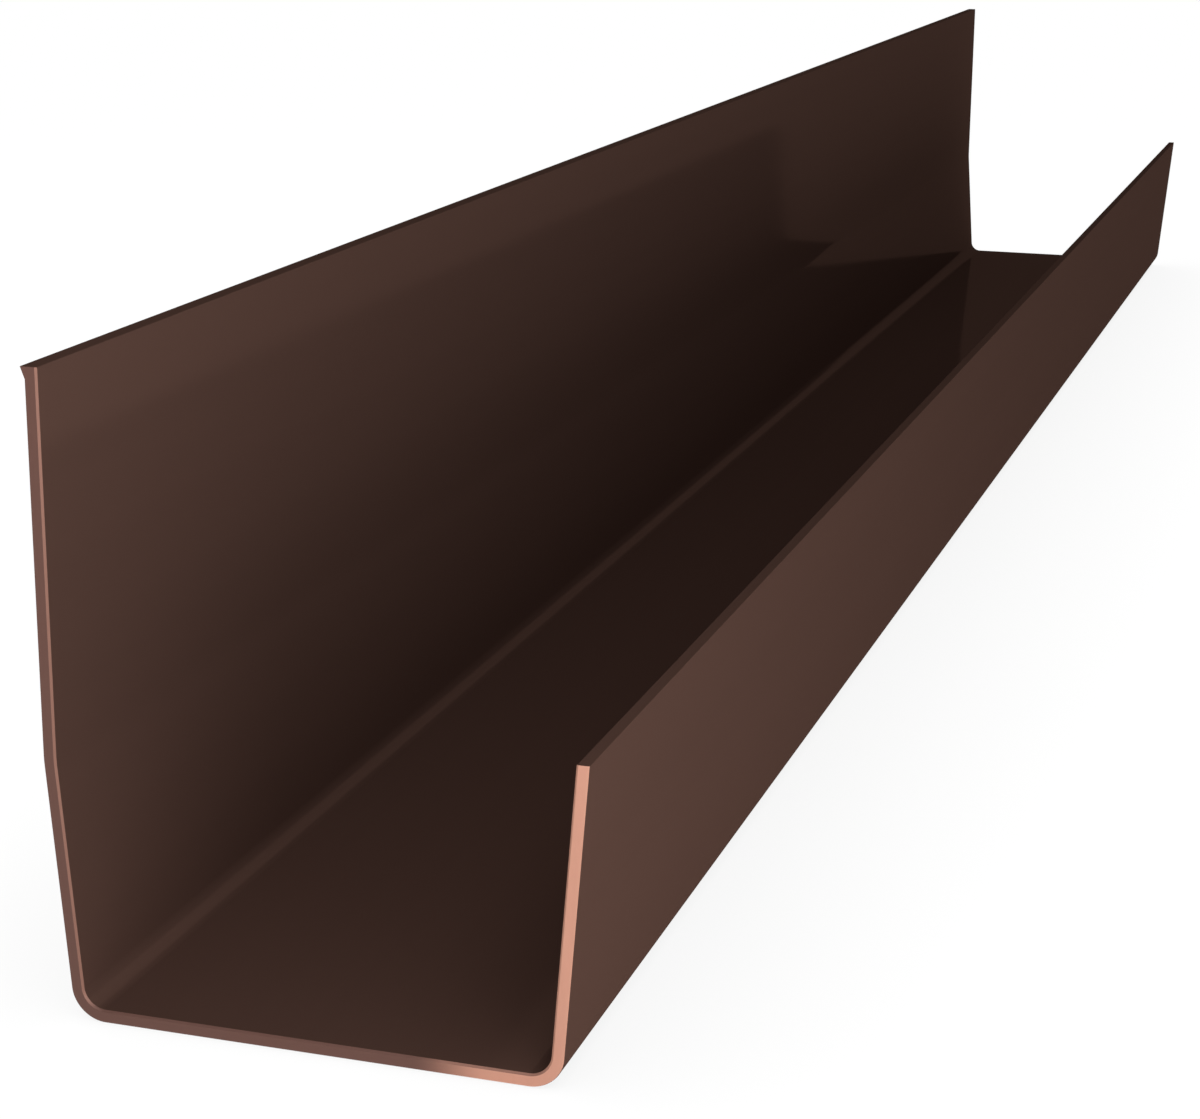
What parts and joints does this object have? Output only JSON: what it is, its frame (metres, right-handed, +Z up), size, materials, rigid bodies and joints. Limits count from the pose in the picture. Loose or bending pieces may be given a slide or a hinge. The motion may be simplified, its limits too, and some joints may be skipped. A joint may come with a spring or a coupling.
{
  "type": "rain gutter section",
  "caption": "Straight open-topped rain gutter length: flat floor with rounded corners, low leaning front wall, and a tall rear wall with a knee and a small lip at its rim.",
  "frame": {"origin": "on the underside of the floor, midway between the two walls and midway along the length", "axes": "+Z up, Y along the gutter's length, tall rear wall (fascia side) on -X, low front wall on +X"},
  "size_m": [0.1102, 1, 0.1293],
  "materials": {
    "brown_pvc": "gloss dark brown skin, copper-brown where it is cut"
  },
  "bodies": {
    "root": {"gutter_channel": "brown_pvc"}
  },
  "joints": []
}
